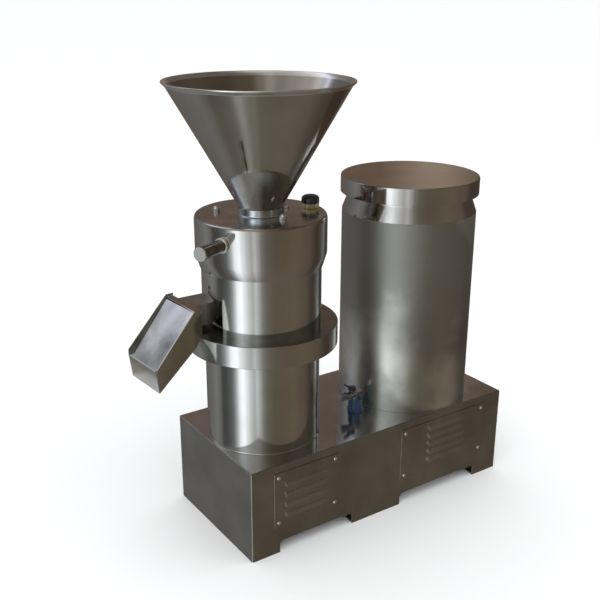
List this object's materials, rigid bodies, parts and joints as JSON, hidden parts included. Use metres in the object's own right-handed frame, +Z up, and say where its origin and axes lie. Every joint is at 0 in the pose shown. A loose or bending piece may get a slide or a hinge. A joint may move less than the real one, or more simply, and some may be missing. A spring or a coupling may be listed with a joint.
{
  "type": "vertical paste grinder",
  "caption": "Free-standing electric peanut grinder with a funnel hopper, an adjusting drum with bar handles, a sloping chute and a belt drive from a covered motor.",
  "frame": {"origin": "middle of the machine's bounding box, at the level of the feet", "axes": "+Z up; X along the base, from the chute at -X to the motor cover at +X; the louvred front faces -Y"},
  "size_m": [0.8196, 0.3666, 0.9285],
  "materials": {
    "polished_steel": "polished",
    "base_sheet": "satin",
    "machined_steel": "machined",
    "cast_iron": "painted",
    "winding": "varnished",
    "brass": "polished",
    "black_plastic": "gloss",
    "blue_paint": "gloss",
    "rubber": "matte"
  },
  "bodies": {
    "base": {"base_shell": "base_sheet", "mounting_plate": "machined_steel", "front_panel_left": "base_sheet", "front_panel_right": "base_sheet", "panel_screw_1": "machined_steel", "panel_screw_2": "machined_steel", "panel_screw_3": "machined_steel", "panel_screw_4": "machined_steel", "panel_screw_5": "machined_steel", "panel_screw_6": "machined_steel", "panel_screw_7": "machined_steel", "panel_screw_8": "machined_steel", "cable_gland": "black_plastic", "bearing_housing": "polished_steel", "lower_bearing": "machined_steel", "upper_bearing": "machined_steel", "chamber_flange": "polished_steel", "shaft_seal": "rubber", "grinding_chamber": "polished_steel", "discharge_chute": "polished_steel", "motor_flange": "cast_iron", "motor_frame": "cast_iron", "motor_stator": "winding", "motor_upper_shield": "cast_iron", "motor_lower_bearing": "machined_steel", "motor_upper_bearing": "machined_steel", "motor_fan_cowl": "cast_iron", "motor_bolt_1": "machined_steel", "motor_bolt_2": "machined_steel", "motor_bolt_3": "machined_steel", "motor_bolt_4": "machined_steel", "motor_cover": "polished_steel", "v_belt_1": "rubber", "v_belt_2": "rubber", "valve_union": "blue_paint", "valve_body": "machined_steel"},
    "spindle": {"spindle": "machined_steel", "grinding_rotor": "machined_steel", "feed_auger": "machined_steel", "spindle_pulley": "cast_iron"},
    "motor_rotor": {"motor_rotor": "machined_steel", "motor_pulley": "cast_iron", "motor_fan": "black_plastic"},
    "stator_lift": {"stator_carrier": "machined_steel", "stator_ring": "machined_steel"},
    "adjusting_drum": {"adjusting_drum": "polished_steel", "top_cover": "polished_steel", "adjusting_handle_left": "machined_steel", "adjusting_handle_right": "machined_steel", "cover_nut_left": "machined_steel", "cover_nut_front": "machined_steel", "cover_nut_right": "machined_steel", "filler_neck": "brass"},
    "filler_cap": {"filler_cap": "black_plastic"},
    "hopper": {"hopper": "polished_steel"},
    "motor_cap": {"motor_cap": "polished_steel"},
    "valve_lever": {"valve_lever": "black_plastic"}
  },
  "joints": [
    {"name": "motor_spin", "type": "hinge", "parent": "base", "child": "motor_rotor", "pos_m": [0.23583, 0, 0.115], "axis": [0, 0, 1], "continuous": true},
    {"name": "spindle_spin", "type": "hinge", "parent": "base", "child": "spindle", "pos_m": [-0.14617, 0, 0.202], "axis": [0, 0, 1], "continuous": true},
    {"name": "stator_slide", "type": "slide", "parent": "base", "child": "stator_lift", "axis": [0, 0, 1], "range_m": [0, 0.005]},
    {"name": "drum_turn", "type": "hinge", "parent": "stator_lift", "child": "adjusting_drum", "pos_m": [-0.14617, 0, 0.571], "axis": [0, 0, 1], "range_deg": [0, 300]},
    {"name": "hopper_lift", "type": "slide", "parent": "adjusting_drum", "child": "hopper", "axis": [0, 0, 1], "range_m": [0, 0.12]},
    {"name": "filler_cap_lift", "type": "slide", "parent": "adjusting_drum", "child": "filler_cap", "axis": [0, 0, 1], "range_m": [0, 0.03]},
    {"name": "motor_cap_lift", "type": "slide", "parent": "base", "child": "motor_cap", "axis": [0, 0, 1], "range_m": [0, 0.15]},
    {"name": "valve_turn", "type": "hinge", "parent": "base", "child": "valve_lever", "pos_m": [0.05783, -0.042, 0.253], "axis": [0, 0, 1], "range_deg": [0, 90]}
  ],
  "couplings": [
    {"joint": "spindle_spin", "follows": "motor_spin", "ratio": 1.171},
    {"joint": "stator_slide", "follows": "drum_turn", "m_per_rad": 0.0009549}
  ]
}
